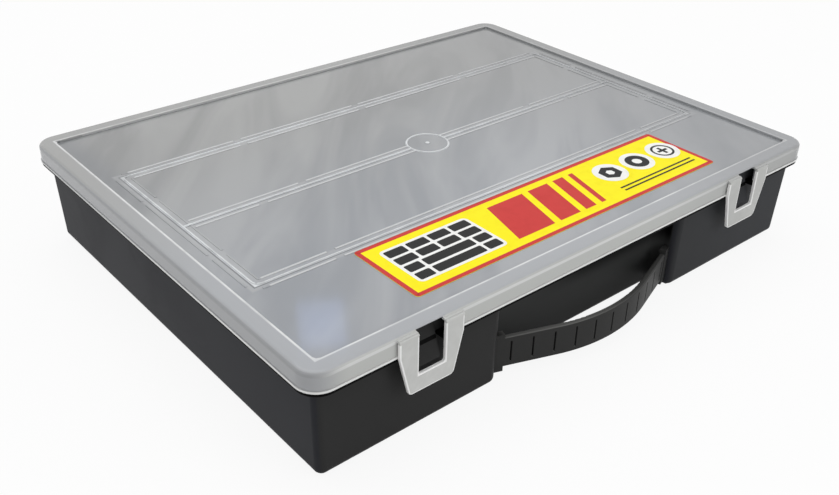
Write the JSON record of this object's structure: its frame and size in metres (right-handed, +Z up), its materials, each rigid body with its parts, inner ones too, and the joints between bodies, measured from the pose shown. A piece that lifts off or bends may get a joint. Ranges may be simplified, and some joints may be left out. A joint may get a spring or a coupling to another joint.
{
  "type": "organizer case",
  "caption": "Flat rectangular organizer case with a black divided tub, a hinged translucent lid, front flap latches and a bowed strap handle, for sorting and carrying small parts.",
  "frame": {"origin": "middle of the flat bottom face the case stands on", "axes": "+X along the front from left to right, -Y towards the front with latches and handle, +Z up"},
  "size_m": [0.365, 0.2974, 0.064],
  "materials": {
    "black_moulding": "satin black moulded polypropylene",
    "black_strap": "satin black flexible polypropylene",
    "milky_moulding": "milky translucent polypropylene, smooth",
    "printed_label": "coated paper label, printed",
    "pin_steel": "drawn steel wire"
  },
  "bodies": {
    "base": {"base_tub": "black_moulding", "carry_handle": "black_strap", "hinge_pin_left": "pin_steel", "hinge_pin_right": "pin_steel", "long_divider_rear": "black_moulding", "long_divider_middle": "black_moulding", "long_divider_front": "black_moulding", "cross_divider_row_a_left": "black_moulding", "cross_divider_row_a_middle": "black_moulding", "cross_divider_row_a_right": "black_moulding", "cross_divider_row_b_left": "black_moulding", "cross_divider_row_b_middle": "black_moulding", "cross_divider_row_b_right": "black_moulding", "cross_divider_row_c_left": "black_moulding", "cross_divider_row_c_right": "black_moulding", "cross_divider_row_d_left": "black_moulding", "cross_divider_row_d_right": "black_moulding"},
    "lid": {"lid": "milky_moulding", "lid_label": "printed_label"},
    "latch_left": {"latch_left": "milky_moulding"},
    "latch_right": {"latch_right": "milky_moulding"}
  },
  "joints": [
    {"name": "lid_hinge", "type": "hinge", "parent": "base", "child": "lid", "pos_m": [0, 0.144, 0.054], "axis": [-1, 0, 0], "range_deg": [0, 110]},
    {"name": "latch_left_hinge", "type": "hinge", "parent": "lid", "child": "latch_left", "pos_m": [-0.119, -0.1435, 0.0618], "axis": [-1, 0, 0], "range_deg": [0, 75]},
    {"name": "latch_right_hinge", "type": "hinge", "parent": "lid", "child": "latch_right", "pos_m": [0.119, -0.1435, 0.0618], "axis": [-1, 0, 0], "range_deg": [0, 75]}
  ]
}
